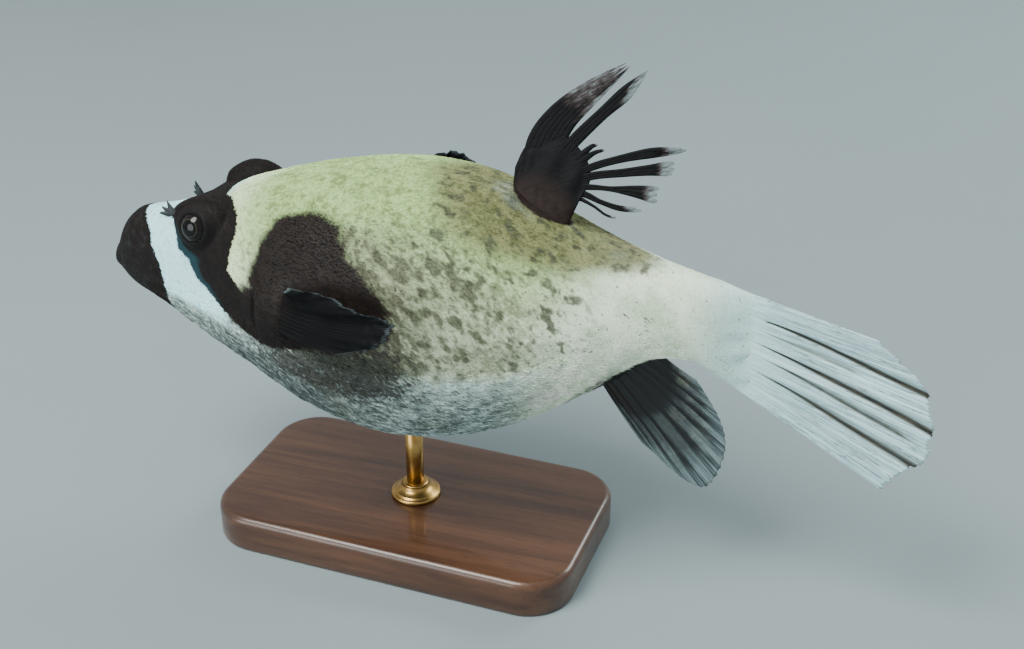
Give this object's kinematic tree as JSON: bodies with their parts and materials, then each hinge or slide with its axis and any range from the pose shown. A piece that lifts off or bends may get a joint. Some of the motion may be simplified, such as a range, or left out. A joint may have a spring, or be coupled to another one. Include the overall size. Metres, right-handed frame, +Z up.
{
  "type": "masked puffer fish model",
  "caption": "Life-size still model of a masked puffer fish in a swimming pose, held on a short brass rod above a wooden base.",
  "frame": {"origin": "middle of the underside of the stand's base, on the surface it stands on", "axes": "+X towards the tail, along the fish's length, +Y towards the fish's right side, +Z up"},
  "size_m": [0.2719, 0.1127, 0.173],
  "materials": {
    "mask_skin": "dark brown-black prickly skin with a white band round the snout",
    "body_skin": "pale olive-grey prickly skin with small brown spots",
    "tail_skin": "cool white prickly skin",
    "dark_fin": "black fin membrane, greyer and thinner towards the tips",
    "pale_fin": "white fin membrane with fine rays and dark pleats",
    "eye": "clear wet gloss over a dark iris",
    "beak": "ivory tooth plate",
    "base_wood": "satin dark walnut",
    "stand_brass": "satin brass"
  },
  "bodies": {
    "root": {"head": "mask_skin", "trunk": "body_skin", "tail_stalk": "tail_skin", "beak_upper": "beak", "beak_lower": "beak", "eye_left": "eye", "eye_right": "eye", "nasal_tentacle_left": "dark_fin", "nasal_tentacle_right": "dark_fin", "pectoral_fin_left": "dark_fin", "pectoral_fin_right": "dark_fin", "dorsal_fin": "dark_fin", "anal_fin": "dark_fin", "caudal_fin": "pale_fin", "stand_base": "base_wood", "stand_collar": "stand_brass", "stand_rod": "stand_brass"}
  },
  "joints": []
}
